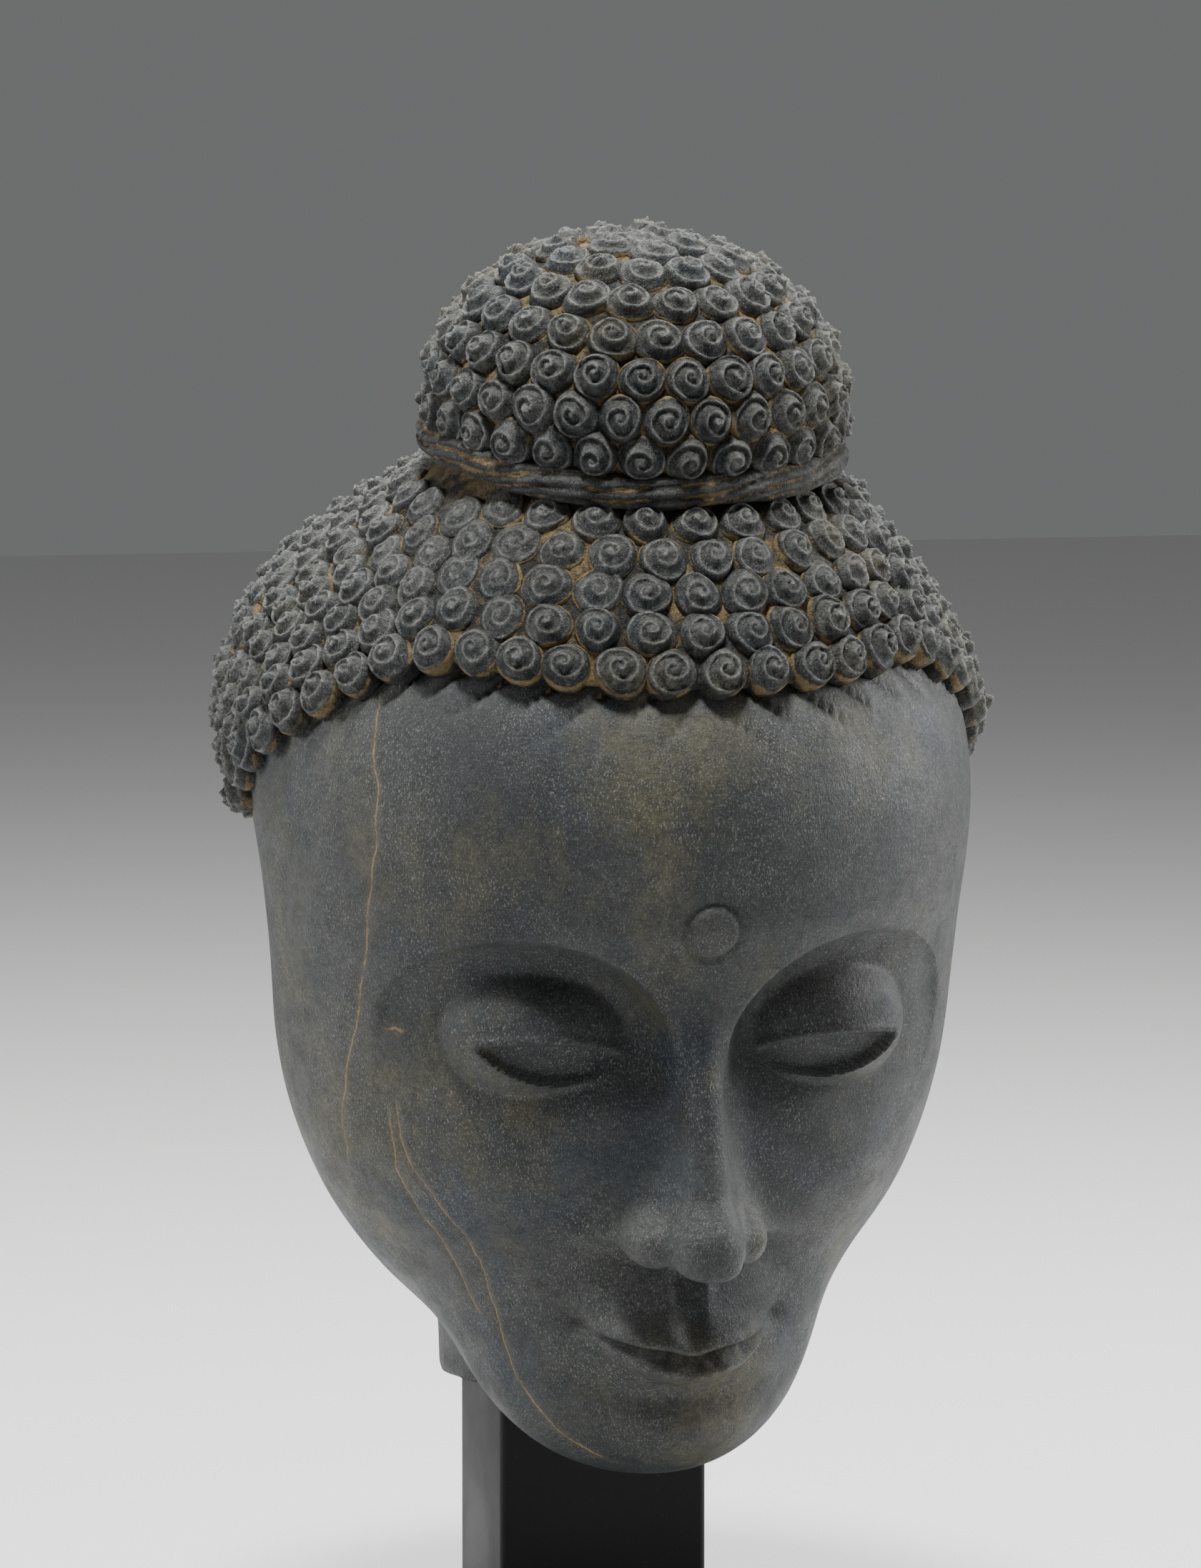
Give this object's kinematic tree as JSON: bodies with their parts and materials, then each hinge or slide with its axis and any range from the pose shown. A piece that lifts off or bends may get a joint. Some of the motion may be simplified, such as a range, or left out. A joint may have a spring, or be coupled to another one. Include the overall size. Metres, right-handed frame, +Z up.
{
  "type": "carved stone Buddha head on a display mount",
  "caption": "Over-life-size carved stone head with snail-shell curls and a topknot, broken at the neck, held on a plain black post and foot.",
  "frame": {"origin": "centre of the foot plate's underside, on the surface it stands on", "axes": "+Z up, the face looks towards -Y, +X to the head's own left"},
  "size_m": [0.2725, 0.3055, 0.5303],
  "materials": {
    "schist": "dark blue-grey mica schist, dressed smooth on the face, with fine light flecks, tan patches and ochre soil in the hollows of the curls",
    "mount_black": "satin black paint on steel"
  },
  "bodies": {
    "root": {"stone_head": "schist", "mount_post": "mount_black", "mount_foot": "mount_black"}
  },
  "joints": []
}
